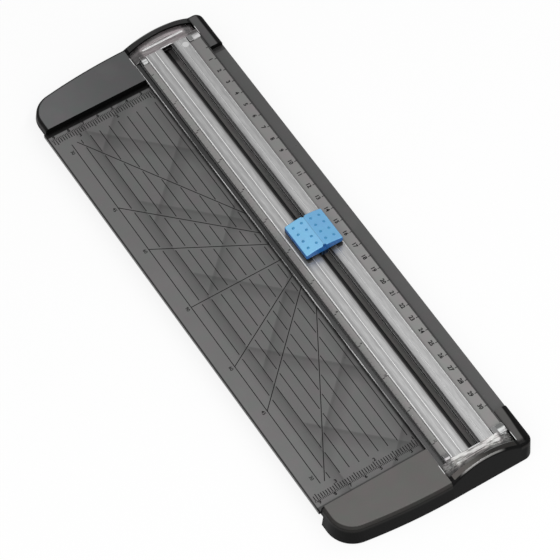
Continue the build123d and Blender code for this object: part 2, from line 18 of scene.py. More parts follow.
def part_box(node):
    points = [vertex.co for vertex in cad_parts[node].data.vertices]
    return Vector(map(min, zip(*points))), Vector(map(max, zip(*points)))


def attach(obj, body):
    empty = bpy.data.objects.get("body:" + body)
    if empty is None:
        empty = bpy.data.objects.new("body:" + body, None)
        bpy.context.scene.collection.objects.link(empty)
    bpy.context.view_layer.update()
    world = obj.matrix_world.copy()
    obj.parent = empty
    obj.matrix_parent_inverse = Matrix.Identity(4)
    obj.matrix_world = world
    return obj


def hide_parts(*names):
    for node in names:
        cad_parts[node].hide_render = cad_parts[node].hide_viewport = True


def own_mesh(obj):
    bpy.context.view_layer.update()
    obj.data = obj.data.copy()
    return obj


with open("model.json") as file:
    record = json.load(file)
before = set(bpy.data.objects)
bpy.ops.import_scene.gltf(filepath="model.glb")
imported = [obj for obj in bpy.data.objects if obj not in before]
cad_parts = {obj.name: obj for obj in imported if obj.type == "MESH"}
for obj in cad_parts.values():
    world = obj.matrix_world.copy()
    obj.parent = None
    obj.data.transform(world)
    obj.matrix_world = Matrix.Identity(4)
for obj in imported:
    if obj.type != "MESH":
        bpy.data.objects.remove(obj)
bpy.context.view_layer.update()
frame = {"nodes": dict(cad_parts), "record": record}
nodes = frame["nodes"]
record = frame["record"]
MM = 0.001
print("solids in the frame:", len(nodes))

# %% [markdown]
# ## Levels and edges of the trimmer
# A print lies on the face that carries it, and a finish changes where one face meets the next. Those
# places could be typed in again, but reading them from the frame keeps ink and shade on the right face
# if the model is ever packed with another size.


# %% Measure the faces
def span(node):
    """Lowest and highest corner of a solid, in millimetres."""
    low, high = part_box(node)
    return low / MM, high / MM


base_low, base_high = span("base_plate")
block_low, block_high = span("far_end_block")
mat_low, mat_high = span("cutting_mat")
rail_low = span("left_rail")[0]
right_rail_high = span("right_rail")[1]
runner_low, runner_high = span("left_runner")
inch_low, inch_high = span("inch_scale_strip")
metric_low, metric_high = span("metric_scale_strip")
table_top = base_high.z
table_left = base_low.x
table_end = block_low.y
rail_end = runner_high.y
cut_line = (mat_low.x + mat_high.x) / 2
print("table top", round(table_top, 2), "cut line", round(cut_line, 2), "half table", round(table_end, 2))

# %% [markdown]
# ## The camera
# The picture was taken with a long lens, from the near left and well above the table. The angles below
# came from fitting a camera to the ruler's own centimetre marks, which is more exact than nudging a
# camera by eye. A long lens is a narrow view from far off, so the two long edges stay almost parallel.

# %% Set the camera
view_azimuth = math.radians(-29.491)
view_elevation = math.radians(56.396)
view_roll = math.radians(-2.910)
view_distance = 1951.5 * MM
view_target = Vector((1.0, -11.0, 11.0)) * MM
lens_length = 218.49

toward_camera = Vector((
    math.sin(view_azimuth) * math.cos(view_elevation),
    -math.cos(view_azimuth) * math.cos(view_elevation),
    math.sin(view_elevation),
))
level_right = Vector((math.cos(view_azimuth), math.sin(view_azimuth), 0.0))
level_up = toward_camera.cross(level_right)
camera_right = level_right * math.cos(view_roll) + level_up * math.sin(view_roll)
camera_up = level_up * math.cos(view_roll) - level_right * math.sin(view_roll)

camera_data = bpy.data.cameras.new("picture_camera")
camera_data.lens = lens_length
camera_data.sensor_width = 36.0
camera_data.clip_start = 50.0 * MM
camera = bpy.data.objects.new("picture_camera", camera_data)
turn = Matrix((camera_right, camera_up, toward_camera)).transposed().to_4x4()
camera.matrix_world = Matrix.Translation(view_target + toward_camera * view_distance) @ turn
bpy.context.scene.collection.objects.link(camera)
bpy.context.scene.camera = camera
bpy.context.scene.view_settings.view_transform = "Standard"
print("camera stands at", [round(x, 3) for x in camera.matrix_world.translation])

# %% [markdown]
# ## Wires between nodes
# A material is a little network of nodes. Written out node by node, even a simple sum fills a page. A
# small class that stands for one node's output lets plain signs build the nodes instead: first * second
# makes a Multiply node, and first | second takes the larger of two masks, so it means "either of them".


# %% Wires
class Wire:
    """What one node hands to the next: a number, colour or vector that plain signs work on."""

    def __init__(self, node, output=0):
        self.node = node
        self.output = output
        self.tree = node.id_data

    def __add__(self, other):
        return calc("ADD", self, other)

    def __sub__(self, other):
        return calc("SUBTRACT", self, other)

    def __rsub__(self, other):
        return calc("SUBTRACT", other, self)

    def __mul__(self, other):
        return calc("MULTIPLY", self, other)

    def __truediv__(self, other):
        return calc("DIVIDE", self, other)

    def __rtruediv__(self, other):
        return calc("DIVIDE", other, self)

    def __abs__(self):
        return calc("ABSOLUTE", self)

    def __or__(self, other):
        return calc("MAXIMUM", self, other)


def add(tree, kind, **settings):
    """A new node in a tree, with its properties set by name."""
    node = tree.nodes.new(kind)
    for name, value in settings.items():
        setattr(node, name, value)
    return node


def feed(socket, value):
    """Joins a wire to a socket, or sets the socket's number or colour."""
    if isinstance(value, Wire):
        value.tree.links.new(value.node.outputs[value.output], socket)
    else:
        socket.default_value = value


def calc(operation, *values):
    """A sum on wires and numbers."""
    tree = next(value.tree for value in values if isinstance(value, Wire))
    node = add(tree, "ShaderNodeMath", operation=operation)
    for socket, value in zip(node.inputs, values):
        feed(socket, value)
    return Wire(node)


print("signs that build nodes: + - * / abs |")

# %% [markdown]
# ## Fades, mixes and places
# Most finishes here come down to one question: how dark is the plastic at this place? A fade turns a
# place into a mask from 0 to 1, a mix uses the mask to blend two colours, and noise breaks up what
# would be too even.


# %% Fades and mixes
def grey(value, warmth=0.0):
    """A grey, a little red where warm and a little blue where cold."""
    return (value * (1 + warmth), value, value * (1 - warmth), 1.0)


def fade(value, start, stop, at_start=0.0, at_stop=1.0):
    """A smooth step from one number to another while a value goes from start to stop."""
    node = add(value.tree, "ShaderNodeMapRange", interpolation_type="SMOOTHSTEP")
    for socket, number in zip(node.inputs, (value, start, stop, at_start, at_stop)):
        feed(socket, number)
    return Wire(node)


def band(value, start, full, still, stop):
    """A stripe: 1 from full to still, fading to 0 at start and at stop."""
    return fade(value, start, full) * fade(value, stop, still)


def mix(share, first, second):
    """First colour where the share is 0, second where it is 1."""
    node = add(share.tree, "ShaderNodeMix", data_type="RGBA")
    for place, value in ((0, share), (6, first), (7, second)):
        feed(node.inputs[place], value)
    return Wire(node, 2)


def darken(share, colour):
    """A colour that goes to black as the share goes to 1."""
    return mix(share, colour, grey(0.0))


def tones_across(value, tones, warmth=0.0):
    """Greys at given places of a value, blended between them."""
    start = tones[0][0]
    reach = tones[-1][0] - start
    node = add(value.tree, "ShaderNodeValToRGB")
    elements = node.color_ramp.elements
    while len(elements) < len(tones):
        elements.new(0.5)
    for element, (place, tone) in zip(elements, tones):
        element.position = (place - start) / reach
        element.color = grey(tone, warmth)
    feed(node.inputs[0], (value - start) / reach)
    return Wire(node)


print("warm mid grey:", grey(0.5, 0.02))


# %% Places and textures
def split(vector):
    """The X, Y and Z of a vector."""
    node = add(vector.tree, "ShaderNodeSeparateXYZ")
    feed(node.inputs[0], vector)
    return [Wire(node, axis) for axis in "XYZ"]


def millimetres(tree):
    """X, Y and Z of the point on the surface, in the trimmer's own millimetres."""
    scale = add(tree, "ShaderNodeVectorMath", operation="SCALE")
    feed(scale.inputs[0], Wire(add(tree, "ShaderNodeTexCoord"), "Object"))
    scale.inputs["Scale"].default_value = 1 / MM
    return split(Wire(scale))


def facing(tree):
    """How far a face looks along X, Y and Z, each from -1 to 1."""
    return split(Wire(add(tree, "ShaderNodeNewGeometry"), "Normal"))


def noise(place, size, detail):
    """A soft noise from 0 to 1 at an X, Y and Z, with blotches of a given size in millimetres."""
    tree = place[0].tree
    vector = add(tree, "ShaderNodeCombineXYZ")
    for socket, value in zip(vector.inputs, place):
        feed(socket, value)
    node = add(tree, "ShaderNodeTexNoise")
    feed(node.inputs["Vector"], Wire(vector))
    feed(node.inputs["Scale"], 1 / size)
    feed(node.inputs["Detail"], detail)
    return Wire(node)


def right_side(x):
    """1 right of the cut and 0 left of it."""
    return fade(x, cut_line, cut_line + 1.0)


def left_side(x):
    """1 left of the cut and 0 right of it."""
    return fade(x, cut_line + 1.0, cut_line)


def far_share(y):
    """0 at the near end of the table, growing to 1 at its far end."""
    return fade(y, -table_end, table_end)


def near_share(y):
    """1 at the near end of the table, falling to 0 at its far end."""
    return fade(y, table_end, -table_end)


print("masks split the trimmer at X", round(cut_line, 2), "and along Y from", round(-table_end, 2))


# %% Materials
finishes = {}


def new_material(name):
    """An empty material, its node tree and its Principled shader."""
    material = bpy.data.materials.new(name)
    material.use_nodes = True
    return material, material.node_tree, material.node_tree.nodes["Principled BSDF"]


def keep_finish(slot, material):
    """Files a finish under the slot of the record that it belongs to."""
    finishes[slot] = material
    print(slot, "gets", material.name, "with", len(material.node_tree.nodes), "nodes")


print("slots to fill:", sorted({subpart["material_slot"] for subpart in record["subparts"]}))

# %% [markdown]
# ## The studio
# A pale floor carries the shadow. Seen straight, in a mirror or through clear plastic it mostly glows,
# as a lit sweep of paper does, and for every other ray it is plain white board. One wide soft lamp
# stands at the near left, so the far end is a little darker, and a narrow one draws the bright line on
# the hoods.


# %% Floor
def seen_directly(tree):
    """1 for rays from the camera, off a mirror or through a clear piece; 0 for rays that carry light."""
    path = add(tree, "ShaderNodeLightPath")
    kinds = ("Is Glossy Ray", "Is Transmission Ray", "Is Camera Ray")
    mirrored, through, straight = [Wire(path, kind) for kind in kinds]
    return mirrored | through | straight


def floor_finish():
    """White board that keeps a pale shadow."""
    glow_share = 0.85
    material, tree, shader = new_material("studio_floor")
    tree.nodes.remove(shader)
    board = add(tree, "ShaderNodeBsdfDiffuse")
    board.inputs["Color"].default_value = grey(0.95)
    glow = add(tree, "ShaderNodeEmission")
    glow.inputs["Strength"].default_value = 1.0
    blend = add(tree, "ShaderNodeMixShader")
    feed(blend.inputs[0], seen_directly(tree) * glow_share)
    feed(blend.inputs[1], Wire(board))
    feed(blend.inputs[2], Wire(glow))
    feed(tree.nodes["Material Output"].inputs["Surface"], Wire(blend))
    return material


floor_half = 6.0            # in metres, as the lamps below
corner_signs = ((-1, -1), (1, -1), (1, 1), (-1, 1))
floor_corners = [(a * floor_half, b * floor_half, 0) for a, b in corner_signs]
floor_mesh = bpy.data.meshes.new("studio_floor")
floor_mesh.from_pydata(floor_corners, [], [(0, 1, 2, 3)])
floor_mesh.materials.append(floor_finish())
floor = bpy.data.objects.new("studio_floor", floor_mesh)
bpy.context.scene.collection.objects.link(floor)
print("floor", 2 * floor_half, "m wide")


# %% Sky and lamps
def light_sky():
    """White where it is seen, and a soft fill where it lights."""
    fill = 0.485
    world = bpy.data.worlds.new("studio_sky")
    world.use_nodes = True
    bpy.context.scene.world = world
    background = world.node_tree.nodes["Background"]
    background.inputs["Color"].default_value = grey(1.0)
    feed(background.inputs["Strength"], seen_directly(world.node_tree) * (1.0 - fill) + fill)


def soft_lamp(name, place, aim, size, watts):
    """A rectangular soft box that faces a point."""
    data = bpy.data.lights.new(name, "AREA")
    data.shape = "RECTANGLE"
    data.size, data.size_y = size
    data.energy = watts
    lamp = bpy.data.objects.new(name, data)
    lamp.location = place
    lamp.rotation_euler = (Vector(aim) - Vector(place)).to_track_quat("-Z", "Y").to_euler()
    bpy.context.scene.collection.objects.link(lamp)


light_sky()
soft_lamp("key_lamp", (-0.6, -0.85, 0.95), (0, -0.05, 0), (2.0, 2.0), 13.0)
soft_lamp("hood_lamp", (0.67, -0.25, 1.33), (0.32, 0.11, 0), (2.4, 0.16), 8.0)

# %% [markdown]
# ## Shared surface effects
# Moulded plastic is never one flat colour: it clouds a little, its polish drifts, and its skin has a
# fine grain. Rolled metal has lines, everything gathers dust, and no edge is quite sharp. Several
# finishes need these effects, so each is a node group with its own inputs, built once and reused.


# %% Make and place node groups
def new_group(name, inputs, outputs):
    """A node group with named sockets: the group, what it is given and what it hands out."""
    group = bpy.data.node_groups.new(name, "ShaderNodeTree")
    for socket, value in inputs.items():
        kind = "NodeSocketColor" if isinstance(value, tuple) else "NodeSocketFloat"
        group.interface.new_socket(socket, in_out="INPUT", socket_type=kind).default_value = value
    for socket, kind in outputs.items():
        group.interface.new_socket(socket, in_out="OUTPUT", socket_type="NodeSocket" + kind)
    entry = add(group, "NodeGroupInput")
    given = {socket: Wire(entry, socket) for socket in inputs}
    return group, given, add(group, "NodeGroupOutput").inputs


def place_group(tree, group, **values):
    """Puts a group into a material, with its inputs set by name; underscores stand for spaces."""
    node = add(tree, "ShaderNodeGroup", node_tree=group)
    for name, value in values.items():
        feed(node.inputs[name.replace("_", " ")], value)
    return {socket.name: Wire(node, socket.name) for socket in node.outputs}


print("groups so far:", len(bpy.data.node_groups))


# %% Moulded skin
def tint(colour, hue, tone):
    """A colour times a hue, channel by channel, and then times a tone."""
    coloured = add(colour.tree, "ShaderNodeVectorMath", operation="MULTIPLY")
    feed(coloured.inputs[0], colour)
    feed(coloured.inputs[1], hue)
    toned = add(colour.tree, "ShaderNodeVectorMath", operation="SCALE")
    feed(toned.inputs[0], Wire(coloured))
    feed(toned.inputs["Scale"], tone)
    return Wire(toned)


def moulded_skin_group():
    """Cloudy colour with a slight drift of hue, drifting polish and a fine grain, for moulded plastic."""
    greener = (0.93, 1.05, 0.99, 1.0)
    redder = (1.07, 0.95, 1.01, 1.0)
    cloud_size, hue_size, polish_size = 28.0, 8.0, 9.0
    group, given, made = new_group(
        "Moulded skin",
        {"Colour": grey(0.1), "Cloud": 0.06, "Grain Size": 0.3, "Roughness": 0.35, "Polish Drift": 0.08},
        {"Colour": "Color", "Roughness": "Float", "Height": "Float"},
    )
    place = millimetres(group)
    tone = (noise(place, cloud_size, 3.0) - 0.5) * (given["Cloud"] * 4.0) + 1.0
    hue = mix(noise(place, hue_size, 2.0), greener, redder)
    drift = (noise(place, polish_size, 4.0) - 0.5) * (given["Polish Drift"] * 2.0)
    feed(made["Colour"], tint(given["Colour"], hue, tone))
    feed(made["Roughness"], drift + given["Roughness"])
    feed(made["Height"], noise(place, given["Grain Size"], 1.0))
    return group


moulded_skin = moulded_skin_group()
print(moulded_skin.name, "has", len(moulded_skin.nodes), "nodes")


# %% Drawn lines
def drawn_lines_group():
    """Fine lines that run along the trimmer, as on drawn or brushed metal."""
    group, given, made = new_group(
        "Drawn lines",
        {"Spacing": 0.5, "Stretch": 0.004},
        {"Tone": "Float", "Height": "Float"},
    )
    x, y, z = millimetres(group)
    stretched = (x, y * given["Stretch"], z)
    feed(made["Tone"], noise(stretched, given["Spacing"], 3.0))
    feed(made["Height"], noise(stretched, given["Spacing"] * 0.4, 2.0))
    return group


drawn_lines = drawn_lines_group()
print(drawn_lines.name, "has", len(drawn_lines.nodes), "nodes")


# %% Dust and handling
def dust_group():
    """Specks of dust and dull patches from handling, mostly on faces that look up."""
    speck_size, smear_size = 0.7, 17.0
    group, given, made = new_group(
        "Dust and handling",
        {"Colour": grey(0.1), "Roughness": 0.3, "Amount": 0.5},
        {"Colour": "Color", "Roughness": "Float"},
    )
    place = millimetres(group)
    upward = facing(group)[2]
    speck = fade(noise(place, speck_size, 1.0), 0.74, 0.80)
    smear = fade(noise(place, smear_size, 4.0), 0.52, 0.75)
    dust = (speck | smear * 0.18) * fade(upward, 0.3, 0.9) * given["Amount"]
    feed(made["Colour"], mix(dust * 0.35, given["Colour"], grey(0.42, 0.03)))
    feed(made["Roughness"], dust * 0.25 + given["Roughness"])
    return group


dust_and_handling = dust_group()
print(dust_and_handling.name, "has", len(dust_and_handling.nodes), "nodes")


# %% Soft edges
def soft_edges_group():
    """Normals that are rounded over at sharp edges, and a mask that is 1 on those edges."""
    group, given, made = new_group(
        "Soft edges",
        {"Radius": 0.2 * MM},
        {"Normal": "Vector", "Edge": "Float"},
    )
    bevel = add(group, "ShaderNodeBevel", samples=6)
    feed(bevel.inputs["Radius"], given["Radius"])
    likeness = add(group, "ShaderNodeVectorMath", operation="DOT_PRODUCT")
    feed(likeness.inputs[0], Wire(bevel))
    feed(likeness.inputs[1], Wire(add(group, "ShaderNodeNewGeometry"), "True Normal"))
    feed(made["Normal"], Wire(bevel))
    feed(made["Edge"], fade(Wire(likeness, "Value"), 0.99, 0.80))
    return group


soft_edges = soft_edges_group()
print("groups now:", [group.name for group in bpy.data.node_groups])

# %% [markdown]
# ## From group to shader
# Four small functions join the groups to a shader, because nearly every finish does it in the same
# way. One lays a skin over a colour, one feeds colour and polish to the shader, one puts dust on the
# skin first, and one lays a fine relief over softened edges.


# %% Skin, dust and relief
def moulded(shader, colour, cloud, grain, roughness, drift):
    """The moulded skin over a colour: clouded colour, roughness and height."""
    return place_group(shader.id_data, moulded_skin, Colour=colour, Cloud=cloud, Grain_Size=grain,
                       Roughness=roughness, Polish_Drift=drift)


def paint(shader, colour, roughness):
    """Feeds a shader's colour and roughness."""
    feed(shader.inputs["Base Color"], colour)
    feed(shader.inputs["Roughness"], roughness)


def dusted(shader, skin, amount):
    """Feeds a shader with a skin's colour and polish under a little dust."""
    worn = place_group(shader.id_data, dust_and_handling, Colour=skin["Colour"],
                       Roughness=skin["Roughness"], Amount=amount)
    paint(shader, worn["Colour"], worn["Roughness"])


def relief(shader, height, depth, edge_radius):
    """Feeds a shader's normal with a relief, in millimetres, and gives the mask of the soft edges."""
    tree = shader.id_data
    edges = place_group(tree, soft_edges, Radius=edge_radius * MM)
    bump = add(tree, "ShaderNodeBump")
    bump.inputs["Strength"].default_value = 1.0
    bump.inputs["Distance"].default_value = depth * MM
    feed(bump.inputs["Height"], height)
    feed(bump.inputs["Normal"], edges["Normal"])
    feed(shader.inputs["Normal"], Wire(bump))
    return edges["Edge"]


print("skin, dust and relief are ready for", len(record["materials"]), "slots")

# %% [markdown]
# ## Smoke plastic of the table
# The table is a smoke grey moulding that lets a little light through, so its crossed ribs show from
# above as soft dark bands: sharp on the far side, where a rib joins the plate, and fading towards the
# near side. Real glass would show them too, but it would also show the floor and cost many samples. The
# bands are therefore coloured into the plastic from the rib spacing, which holds in every view. The
# free edge on the left has nothing under it and looks lightest.

# %% Table colours
rib_pitch = 60.0
rib_phase = 43.0
rib_depth = 0.37            # how much of the light a rib takes away
rib_shades = [(0.0, 0.0), (0.96, 0.8), (2.24, 1.0), (4.8, 0.62), (9.92, 0.42), (16.0, 0.0)]
wall_left = table_left + 16.5
wall_right = table_left + 23.0
# Tones across the table: lightest on the free edge, darker over the wall below, and painted deep shade
# under and beside the rail.
table_tones = [
    (table_left, 0.138),
    (wall_left - 1.8, 0.132),
    (wall_left + 1.0, 0.106),
    (wall_right - 1.3, 0.086),
    (wall_right - 0.5, 0.058),
    (wall_right + 0.3, 0.118),
    (0.0, 0.112),
    (rail_low.x - 1.6, 0.080),
    (rail_low.x - 0.8, 0.010),
    (right_rail_high.x + 1.2, 0.010),
    (right_rail_high.x + 1.9, 0.072),
    (base_high.x, 0.066),
]


def rib_shade(x, y, sign):
    """Darkness of the ribs that rise (1) or fall (-1) to the right."""
    behind = calc("WRAP", rib_phase - (x * -sign + y), 0.0, rib_pitch)
    return tones_across(behind, rib_shades)


def table_colour(x, y):
    """Smoke grey across the table, darker over the ribs, with painted shade at the far end and next to the
    near panel.
    """
    plain = tones_across(x, table_tones, 0.01)
    ribbed = fade(x, wall_right - 2.0, wall_right + 2.0, 0.0, rib_depth) * left_side(x)
    for sign in (1, -1):
        plain = darken(rib_shade(x, y, sign) * ribbed, plain)
    # painted shade: a little towards the far end, and a dark line next to the near panel
    far = fade(y, -table_end, table_end, 0.0, 0.14)
    near_panel_shade = fade(y, 2.2 - table_end, 3.0 - table_end, 0.75, 0.0) * left_side(x)
    return darken(far | near_panel_shade, plain)


def table_black(x, y):
    """Share of black for the painted shadow in the gap beside the far panel and on the rim of the free
    edge.
    """
    far_panel_shadow = fade(y, table_end - 4.2, table_end - 3.5, 0.0, 0.90)
    far_panel_shadow = far_panel_shadow * fade(x, cut_line, cut_line + 1.0, 1.0, 0.45)
    rim = fade(x, table_left + 1.1, table_left + 0.7, 0.0, 0.8)
    return far_panel_shadow | rim


print("wall below the table from", round(wall_left, 1), "to", round(wall_right, 1))


# %% Table finish
def smoke_table_finish():
    """Semi-gloss smoke grey with the ribs showing through, and painted deep shade under the rail."""
    material, tree, shader = new_material("smoke_table")
    x, y, _ = millimetres(tree)
    # painted shadow beside the far panel and along the rim of the free edge
    black = table_black(x, y)
    seen = darken(black, table_colour(x, y))
    skin = moulded(shader, seen, cloud=0.05, grain=0.35, roughness=0.30, drift=0.06)
    dusted(shader, skin, 0.35)
    feed(shader.inputs["Metallic"], black)      # black metal has no shine, so the gap stays dark
    shader.inputs["IOR"].default_value = 1.49
    relief(shader, skin["Height"], 0.003, 0.3)
    return material


keep_finish("smoke_plastic", smoke_table_finish())

# %% [markdown]
# ## End blocks
# The end panels are the same smoke plastic, but thicker. From above they look mid grey and satin, while
# the side walls are painted almost black, as painted shade, and the hoods are dark too. A mask from the
# surface normal splits the two, and a second one from the height picks out the hoods. Painted shade also
# runs along the outer edges, and painted highlights lie on the bay's corners and round the near hood.

# %% End block colours
panel_top = table_top + 3.5
bay_half = cut_line - rail_low.x + 0.5
bay_right = cut_line + bay_half
block_end = block_high.y
block_right = block_high.x
bow_radius = 360.0
edge_inset = 2.2            # from the wall's foot to the round of the top edge
corner_narrowing = 1.3      # how much the right panel narrows towards the near corner
near_right_shift = 3.2      # how much further out the near right corner of the bay shines


def far_rim(x, y):
    """Painted shade along the outer edge of the far end, which is bowed left of the hood."""
    beyond = (cut_line - bay_half - x) | 0.0
    sag = bow_radius - calc("SQRT", bow_radius ** 2 - beyond * beyond)
    inside = block_end - edge_inset - (y + sag)
    return fade(inside, 1.0, 0.4, 0.0, 0.9)


def panel_tone(x, y):
    """Colour of the panel tops, deeper on the right of the rail, with painted shade at the far end towards
    the rail and round the right panel's edges.
    """
    far = far_share(y)
    inward = fade(x, table_left, rail_low.x)
    left = mix(far, grey(0.124, 0.035), grey(0.128, -0.01))
    left = darken(far * inward * 0.26, left)
    right = mix(far, grey(0.088, 0.02), grey(0.094))
    outward = x + fade(y, -table_end, edge_inset - block_end, 0.0, corner_narrowing)
    # painted shade along the right panel's outer edge, its near edge and its bay side, which leaves a paler
    # band
    right = darken(fade(outward, block_right - 3.9, block_right - 2.9, 0.0, 0.95), right)
    right = darken(fade(y, 7.0 - block_end, 4.5 - block_end, 0.0, 0.8), right)
    right = darken(fade(x, bay_right + 1.2, bay_right, 0.0, 0.35), right)
    return mix(fade(x, cut_line + 18.0, cut_line + 20.0), left, right)


def wall_tone(x, y, z, aside, level):
    """Painted shade on the walls: almost black, with painted light a little paler round the shoulder of the
    outer edge at the near left.
    """
    wall = mix(fade(z, panel_top - 4.5, panel_top - 2.5), grey(0.002), grey(0.014, 0.05))
    shoulder = mix(far_share(y) | right_side(x), grey(0.030, 0.05), grey(0.003))
    shoulder = mix(fade(level, 0.3, 0.6), wall, shoulder)
    outer = fade(abs(y), table_end + 0.3, table_end + 1.5) * fade(aside, bay_half, bay_half + 0.5)
    return mix(outer, grey(0.003), shoulder)


def bay_line(x, y, aside):
    """1 along the corner of the rail's bay beside the caps, where a highlight is painted."""
    near_right = near_share(y) * right_side(x)
    along = abs(y) - near_right * near_right_shift
    length = band(along, rail_end - 1.5, rail_end, rail_end + 5.0, rail_end + 6.0)
    return length * fade(aside, bay_half + 0.45, bay_half + 0.25)


print("panel top", round(panel_top, 2), "bay half width", round(bay_half, 2))


# %% End block finish
hood_start = panel_top + 0.2


def hood_tone(x, y):
    """Colour of the hoods: the near one is painted paler towards the left, as painted light."""
    near_hood = mix(fade(x, cut_line - 12.0, cut_line + 6.0), grey(0.092, 0.06), grey(0.022, 0.06))
    return mix(far_share(y), near_hood, grey(0.030))


def end_block_finish():
    """Satin grey on top, painted shade near black on the walls, and a polished edge round the hood, with a
    painted highlight on the near one.
    """
    material, tree, shader = new_material("smoke_end")
    x, y, z = millimetres(tree)
    _, lean, upward = facing(tree)
    hood = fade(z, hood_start, hood_start + 1.0)
    level = upward | hood * calc("SQRT", 1.0 - lean * lean)
    aside = abs(x - cut_line)
    top = mix(hood, panel_tone(x, y), hood_tone(x, y))
    # painted shade along the far rim, and a painted highlight on the bay's corner
    top = darken(far_rim(x, y), top)
    top = mix(bay_line(x, y, aside), top, grey(0.75))
    # painted shade: faces that do not look up take the near black of the walls
    seen = mix(fade(level, 0.92, 0.998), wall_tone(x, y, z, aside, level), top)
    rounded = band(level, 0.55, 0.80, 0.93, 0.985)
    crown = hood * band(x, cut_line - 18.0, cut_line - 12.0, cut_line + 7.5, cut_line + 13.5)
    gloss_and_painted_highlight = rounded * crown
    # painted highlight round the near hood's edge, where the coat also shines
    seen = mix(gloss_and_painted_highlight * near_share(y), seen, grey(0.13, 0.04))
    skin = moulded(shader, seen, cloud=0.04, grain=0.25, roughness=0.38, drift=0.06)
    dusted(shader, skin, 0.3)
    feed(shader.inputs["Coat Weight"], gloss_and_painted_highlight)
    shader.inputs["Coat Roughness"].default_value = 0.25
    shader.inputs["Coat IOR"].default_value = 1.8
    shader.inputs["Specular IOR Level"].default_value = 0.05
    relief(shader, skin["Height"], 0.003, 0.25)
    return material


keep_finish("end_plastic", end_block_finish())

# %% [markdown]
# ## Clear plastic of the rail
# The rail is clear acrylic. Pure glass would be true to it, but such thin walls need many bounces
# before they look like anything. About a quarter of the light therefore passes through, and the rest
# meets a body colour that carries painted light and shade: the thin lip is painted dark, as the shaded
# table under it, the slot's walls are painted pale, and the ridges and the edge of the lip carry painted
# highlights.

# %% Rail finish
lip_top = rail_low.z + 1.1
# painted shade in the lip, as the table in shade under it, by the place along the table
lip_shade_tones = [(-1.0, 0.085), (-0.4, 0.065), (-0.1, 0.012), (0.2, 0.020), (0.8, 0.004)]
# width of the painted highlight along the edge of the lip
lip_glint_width = 0.4


def rail_body(x, y, z):
    """Colour inside the rail: painted shade in the lip, which changes along its length, painted light on
    the ledge wall at the far end, and painted pale walls over a dark floor in the slot.
    """
    sideways, _, upward = facing(x.tree)
    body = tones_across(y / table_end, lip_shade_tones)
    ledge = fade(sideways, -0.6, -0.9) * fade(z, lip_top, lip_top + 0.3)
    body = mix(ledge, body, mix(far_share(y), grey(0.05), grey(0.22)))
    slot = mix(fade(upward, 0.4, 0.8), grey(0.42), grey(0.032))
    return mix(right_side(x), body, slot)


def rail_glints(x, y, z, highlight_breaks):
    """Mask of the painted highlights: on the ridges, weaker on the right one, and broken up along the edge
    of the lip.
    """
    ridge = fade(z, inch_low.z + 0.05, inch_low.z + 0.15) * fade(abs(x - cut_line), 10.0, 11.0)
    ridge = ridge * (left_side(x) | fade(y, -table_end, table_end, 0.80, 0.62))
    lip = fade(x, rail_low.x + lip_glint_width, rail_low.x + lip_glint_width / 2)
    lip = lip * fade(highlight_breaks, 0.35, 0.60) * fade(y, -0.9 * table_end, -0.5 * table_end, 0.15, 0.9)
    return ridge | lip


def rail_finish():
    """Clear acrylic with painted shade in the lip, painted light in the slot and painted highlights on the
    ridges.
    """
    material, tree, shader = new_material("clear_rail")
    x, y, z = millimetres(tree)
    marks = place_group(tree, drawn_lines, Spacing=0.5, Stretch=0.02)
    skin = moulded(shader, rail_body(x, y, z), cloud=0.03, grain=0.6, roughness=0.12, drift=0.05)
    # painted highlights on the ridges and along the edge of the lip
    bright = rail_glints(x, y, z, marks["Tone"])
    paint(shader, mix(bright, skin["Colour"], grey(1.0)), skin["Roughness"])
    shader.inputs["Transmission Weight"].default_value = 0.25
    shader.inputs["IOR"].default_value = 1.49
    relief(shader, marks["Height"], 0.002, 0.2)
    return material


keep_finish("clear_plastic", rail_finish())

# %% [markdown]
# ## Frosted caps
# The caps are the same plastic with a frosted inside, and they need more than one tone. Next to the
# rail each has a flat at the runners' level, and behind it an arched wall goes up to the hood. The foot
# of that wall and its upper rim are the brightest lines, painted highlights as are the end of the slot
# and the tabs on the scale ledges, which are painted white. The near cap is painted paler, as painted
# light, while the corners, the slot and the arch next to the hood take painted shade, and fine streaks
# run across everything. All of it follows from the place on the cap, so the masks below are distances
# from features of the solid.

# %% Cap colours
flat_level = runner_high.z + 0.1
wall_place = rail_end + 4.9
cap_half = 14.2
slot_half = 4.0
tab_middle = rail_end - 1.5
tab_corner = metric_low.x + 3.0
# The near pairs are paler: painted light on the near cap.
far_flat = ((0.22, 0.195, 0.20, 1.0), (0.36, 0.325, 0.33, 1.0))
near_flat = ((0.32, 0.305, 0.295, 1.0), (0.98, 0.97, 0.95, 1.0))
far_arch = ((0.36, 0.31, 0.32, 1.0), (0.50, 0.45, 0.46, 1.0))
near_arch = ((0.16, 0.15, 0.145, 1.0), (0.62, 0.60, 0.58, 1.0))


def cap_lines(z, aside, along):
    """Painted highlights along the bright lines of a cap: the foot of its arched wall, and the end of the
    slot.
    """
    over = z - flat_level
    foot = band(over, -0.2, -0.1, 0.8, 1.2) * fade(aside, cap_half, cap_half - 0.5)
    foot = foot * band(along, wall_place - 0.8, wall_place - 0.5, wall_place + 0.1, wall_place + 0.25)
    slot_end = fade(along, rail_end + 0.7, rail_end + 0.5) * fade(aside, slot_half, slot_half - 0.4)
    return foot | slot_end * fade(over, -0.2, -0.1)


def streaked(near, streak, far_pair, near_pair):
    """A streaky colour that goes from its far pair of tones to its near pair."""
    return mix(near, mix(streak, *far_pair), mix(streak, *near_pair))


def arch_tone(along, near, streak):
    """Colour of the arched top: pale along its rim, with painted shade towards the hood."""
    hood_shade = fade(along, wall_place + 1.2, wall_place + 2.2, 0.0, 0.72)
    return darken(hood_shade, streaked(near, streak, far_arch, near_arch))


